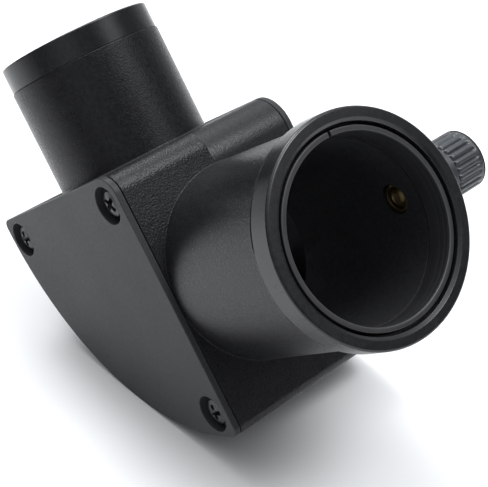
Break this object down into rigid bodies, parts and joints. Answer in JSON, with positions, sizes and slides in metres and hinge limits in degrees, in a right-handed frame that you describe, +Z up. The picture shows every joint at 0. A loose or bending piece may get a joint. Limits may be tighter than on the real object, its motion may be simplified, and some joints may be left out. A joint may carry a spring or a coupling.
{
  "type": "star diagonal",
  "caption": "Right-angle star diagonal: fan-shaped housing with a nosepiece and an eyepiece socket at 90 degrees, a mirror inside and a thumbscrew that clamps the eyepiece.",
  "frame": {"origin": "on the ground, below the middle of the object's box, with the diagonal resting on its curved back", "axes": "+Z up; the eyepiece tube points up towards +X and the nosepiece up towards -X, in the XZ plane; Y runs across the body and the thumbscrew is on the +Y side"},
  "size_m": [0.106, 0.054, 0.0704],
  "materials": {
    "housing_black": "fine-textured satin",
    "plate_grey": "satin",
    "smooth_black": "satin",
    "ring_black": "satin",
    "knob_black": "satin",
    "screw_black": "satin",
    "brass": "satin",
    "mirror_coat": "polished",
    "holder_black": "matte",
    "pad_foam": "matte",
    "spring_steel": "satin"
  },
  "bodies": {
    "diagonal": {"housing": "housing_black", "side_plate_near": "plate_grey", "side_plate_far": "plate_grey", "plate_screw_near_ridge": "screw_black", "plate_screw_near_top": "screw_black", "plate_screw_near_bottom": "screw_black", "plate_screw_far_ridge": "screw_black", "plate_screw_far_top": "screw_black", "plate_screw_far_bottom": "screw_black", "eyepiece_collar": "smooth_black", "eyepiece_split_ring": "ring_black", "nosepiece_end_ring": "smooth_black", "thumbscrew_insert": "brass", "mirror_glass": "mirror_coat", "mirror_pad": "pad_foam", "mirror_holder": "holder_black", "mirror_clip_upper": "spring_steel", "mirror_clip_lower": "spring_steel", "mirror_clip_screw_upper": "screw_black", "mirror_clip_screw_lower": "screw_black"},
    "thumbscrew_rod": {"thumbscrew_shank": "brass"},
    "thumbscrew_grip": {"thumbscrew_knob": "knob_black"}
  },
  "joints": [
    {"name": "thumbscrew_travel", "type": "slide", "parent": "diagonal", "child": "thumbscrew_rod", "axis": [0, 1, 0], "range_m": [-0.00105, 0.0028]},
    {"name": "thumbscrew_turn", "type": "hinge", "parent": "thumbscrew_rod", "child": "thumbscrew_grip", "pos_m": [0.03132, 0.02335, 0.04706], "axis": [0, 1, 0], "range_deg": [-540, 1440]}
  ],
  "couplings": [
    {"joint": "thumbscrew_turn", "follows": "thumbscrew_travel", "rad_per_m": 8976}
  ]
}
